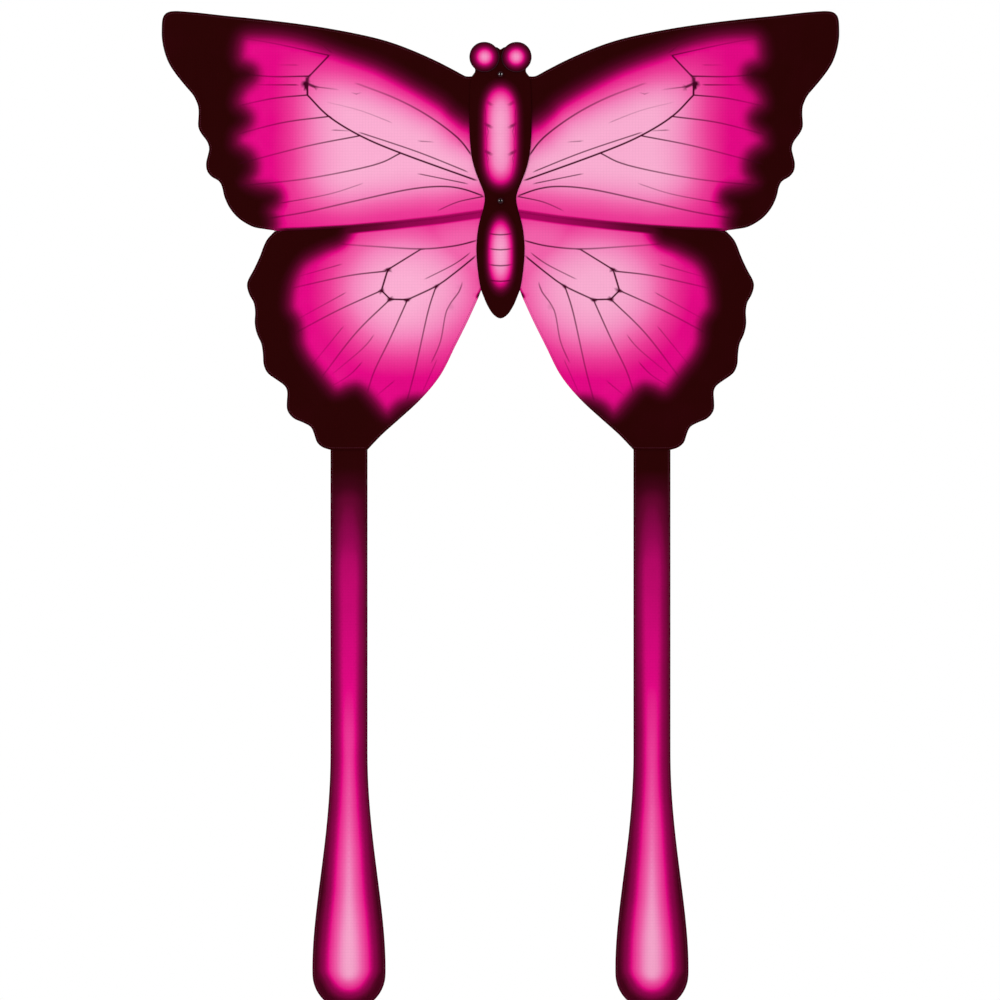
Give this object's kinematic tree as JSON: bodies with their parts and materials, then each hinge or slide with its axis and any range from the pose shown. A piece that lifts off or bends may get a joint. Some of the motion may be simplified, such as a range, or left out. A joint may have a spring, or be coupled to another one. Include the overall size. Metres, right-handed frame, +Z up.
{
  "type": "butterfly kite",
  "caption": "Single-line butterfly kite: printed cloth sail on a folding rod frame, padded body with round eyes, and two long ribbon tails.",
  "frame": {"origin": "centre of the upper bridle eyelet, in the plane of the sail's front face", "axes": "+Z up along the spine towards the head, -Y out of the printed front towards the flyer, +X to the viewer's right"},
  "size_m": [1.4004, 0.0244, 2.0645],
  "materials": {
    "sail_print": "printed ripstop",
    "body_cloth": "printed ripstop",
    "tape_cloth": "woven tape",
    "fibreglass": "satin",
    "vinyl": "satin",
    "nylon": "moulded",
    "eyelet_metal": "dark enamel"
  },
  "bodies": {
    "spine": {"spine_rod": "fibreglass", "spine_cap_top": "vinyl", "spine_cap_bottom": "vinyl", "nose_hub": "nylon", "center_hub": "nylon", "spine_tape": "tape_cloth", "spine_sleeve_head": "tape_cloth", "spine_sleeve_upper": "tape_cloth", "spine_sleeve_lower": "tape_cloth", "spine_closure_tab": "tape_cloth", "body_panel": "body_cloth", "head_backing": "tape_cloth", "left_eye": "sail_print", "right_eye": "sail_print", "upper_bridle_eyelet": "eyelet_metal", "lower_bridle_eyelet": "eyelet_metal"},
    "left_wing": {"left_forewing_panel": "sail_print", "left_hindwing_panel": "sail_print", "left_leading_rod": "fibreglass", "left_leading_sleeve": "tape_cloth", "left_leading_tip_cap": "vinyl", "left_leading_joint_tube": "vinyl", "left_wingtip_patch": "tape_cloth", "left_spreader_rod": "fibreglass", "left_spreader_sleeve": "tape_cloth", "left_spreader_tip_cap": "vinyl", "left_spreader_joint_tube": "vinyl", "left_hind_rod": "fibreglass", "left_hind_tip_cap": "vinyl", "left_hind_joint_tube": "vinyl", "left_hind_tip_pocket": "tape_cloth", "left_hind_rod_keeper": "tape_cloth", "left_tail_seam_tape": "tape_cloth"},
    "left_tail_upper": {"left_tail_upper": "sail_print"},
    "left_tail_middle": {"left_tail_middle": "sail_print"},
    "left_tail_lower": {"left_tail_lower": "sail_print"},
    "left_tail_end": {"left_tail_end": "sail_print"},
    "right_wing": {"right_forewing_panel": "sail_print", "right_hindwing_panel": "sail_print", "right_leading_rod": "fibreglass", "right_leading_sleeve": "tape_cloth", "right_leading_tip_cap": "vinyl", "right_leading_joint_tube": "vinyl", "right_wingtip_patch": "tape_cloth", "right_spreader_rod": "fibreglass", "right_spreader_sleeve": "tape_cloth", "right_spreader_tip_cap": "vinyl", "right_spreader_joint_tube": "vinyl", "right_hind_rod": "fibreglass", "right_hind_tip_cap": "vinyl", "right_hind_joint_tube": "vinyl", "right_hind_tip_pocket": "tape_cloth", "right_hind_rod_keeper": "tape_cloth", "right_tail_seam_tape": "tape_cloth"},
    "right_tail_upper": {"right_tail_upper": "sail_print"},
    "right_tail_middle": {"right_tail_middle": "sail_print"},
    "right_tail_lower": {"right_tail_lower": "sail_print"},
    "right_tail_end": {"right_tail_end": "sail_print"}
  },
  "joints": [
    {"name": "left_wing_fold", "type": "hinge", "parent": "spine", "child": "left_wing", "pos_m": [-0.012, 0.0005, -0.2], "axis": [0, 0, -1], "range_deg": [0, 85], "stiffness_Nm_per_rad": 0.04, "deforming": ["left_leading_joint_tube", "left_spreader_joint_tube", "left_hind_joint_tube"]},
    {"name": "left_tail_seam", "type": "hinge", "parent": "left_wing", "child": "left_tail_upper", "pos_m": [-0.313, 0.0004, -0.777], "axis": [-1, 0, 0], "range_deg": [-60, 40]},
    {"name": "left_tail_bend_1", "type": "hinge", "parent": "left_tail_upper", "child": "left_tail_middle", "pos_m": [-0.313, 0.0004, -1.066], "axis": [-1, 0, 0], "range_deg": [-20, 20]},
    {"name": "left_tail_bend_2", "type": "hinge", "parent": "left_tail_middle", "child": "left_tail_lower", "pos_m": [-0.313, 0.0004, -1.355], "axis": [-1, 0, 0], "range_deg": [-20, 20]},
    {"name": "left_tail_bend_3", "type": "hinge", "parent": "left_tail_lower", "child": "left_tail_end", "pos_m": [-0.313, 0.0004, -1.644], "axis": [-1, 0, 0], "range_deg": [-20, 20]},
    {"name": "right_wing_fold", "type": "hinge", "parent": "spine", "child": "right_wing", "pos_m": [0.012, 0.0005, -0.2], "axis": [0, 0, 1], "range_deg": [0, 85], "stiffness_Nm_per_rad": 0.04, "deforming": ["right_leading_joint_tube", "right_spreader_joint_tube", "right_hind_joint_tube"]},
    {"name": "right_tail_seam", "type": "hinge", "parent": "right_wing", "child": "right_tail_upper", "pos_m": [0.313, 0.0004, -0.777], "axis": [-1, 0, 0], "range_deg": [-60, 40]},
    {"name": "right_tail_bend_1", "type": "hinge", "parent": "right_tail_upper", "child": "right_tail_middle", "pos_m": [0.313, 0.0004, -1.066], "axis": [-1, 0, 0], "range_deg": [-20, 20]},
    {"name": "right_tail_bend_2", "type": "hinge", "parent": "right_tail_middle", "child": "right_tail_lower", "pos_m": [0.313, 0.0004, -1.355], "axis": [-1, 0, 0], "range_deg": [-20, 20]},
    {"name": "right_tail_bend_3", "type": "hinge", "parent": "right_tail_lower", "child": "right_tail_end", "pos_m": [0.313, 0.0004, -1.644], "axis": [-1, 0, 0], "range_deg": [-20, 20]}
  ]
}
